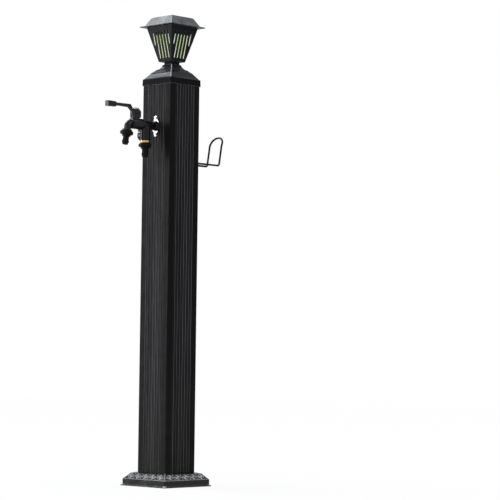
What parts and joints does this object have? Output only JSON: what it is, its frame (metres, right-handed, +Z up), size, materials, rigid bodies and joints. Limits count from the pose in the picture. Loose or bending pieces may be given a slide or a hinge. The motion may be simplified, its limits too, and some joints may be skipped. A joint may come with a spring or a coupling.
{
  "type": "garden standpipe",
  "caption": "Fluted square garden standpipe on a covered base plate, with a twin ball-valve tap on its front, a wire hose hook on its back and a solar lantern on its stepped cap.",
  "frame": {"origin": "post axis on the ground: centre of the base plate's underside, z = 0", "axes": "+Z up along the post, -Y out of the post's front towards the tap's spout, +Y out of the back towards the hose hook, side valve's handle towards -X"},
  "size_m": [0.161, 0.3866, 1.1724],
  "materials": {
    "coated_aluminium": "satin black powder coat on aluminium",
    "coated_brass": "satin black coat on brass",
    "coated_steel": "black dipped steel wire",
    "galvanised_steel": "galvanised plate",
    "stainless_steel": "plain stainless fasteners",
    "chrome": "polished chrome plate",
    "brass": "machined brass",
    "black_plastic": "matte black moulding",
    "lamp_plastic": "charcoal weatherproof moulding",
    "connector_plastic": "matte black moulding",
    "diffuser": "pale yellow-green translucent shell",
    "led_resin": "clear resin",
    "solar_glass": "dark blue cells under glass",
    "battery_steel": "plain sleeve, no print",
    "water_pipe": "white water pipe",
    "seat_plastic": "white low-friction plastic",
    "rubber": "black rubber"
  },
  "bodies": {
    "standpipe": {"base_plate": "galvanised_steel", "base_screws": "stainless_steel", "base_cover": "coated_aluminium", "fluted_post": "coated_aluminium", "post_cap": "coated_aluminium", "lamp_neck": "black_plastic", "lamp_bolt": "stainless_steel", "lamp_flange_nut": "stainless_steel", "lamp_cage": "lamp_plastic", "cage_liner": "diffuser", "wall_elbow": "chrome", "elbow_screws": "stainless_steel", "riser_pipe": "water_pipe", "riser_nut": "brass", "supply_inlet": "brass", "hose_hook": "coated_steel", "hook_rivet_nuts": "coated_steel", "tap_body": "coated_brass", "main_seats": "seat_plastic", "main_gland": "brass", "spout": "coated_brass", "spout_connector": "connector_plastic", "spout_washer": "rubber", "spout_nipple_oring": "rubber", "side_seats": "seat_plastic", "side_gland": "brass", "side_outlet": "brass", "side_connector": "connector_plastic", "side_washer": "rubber", "side_nipple_oring": "rubber"},
    "main_lever": {"lever": "coated_brass", "dome_nut": "chrome", "main_stem": "brass", "main_stem_oring": "rubber", "main_ball": "chrome"},
    "side_handle": {"side_lever": "coated_brass", "side_lever_screw": "stainless_steel", "side_stem": "brass", "side_stem_oring": "rubber", "side_ball": "chrome"},
    "lamp_head": {"lamp_roof": "lamp_plastic", "solar_panel": "solar_glass", "lamp_module": "black_plastic", "module_screws": "stainless_steel", "battery_cell": "battery_steel", "led_lamp": "led_resin"},
    "lamp_switch": {"lamp_switch_knob": "black_plastic"}
  },
  "joints": [
    {"name": "lever_turn", "type": "hinge", "parent": "standpipe", "child": "main_lever", "pos_m": [0, -0.1208, 0.92], "axis": [0, 0, 1], "range_deg": [0, 90]},
    {"name": "side_handle_turn", "type": "hinge", "parent": "standpipe", "child": "side_handle", "pos_m": [-0.018, -0.0876, 0.8679], "axis": [1, 0, 0], "range_deg": [0, 90]},
    {"name": "roof_lift", "type": "slide", "parent": "standpipe", "child": "lamp_head", "axis": [0, 0, 1], "range_m": [0, 0.08]},
    {"name": "switch_slide", "type": "slide", "parent": "lamp_head", "child": "lamp_switch", "axis": [1, 0, 0], "range_m": [0, 0.004]}
  ]
}
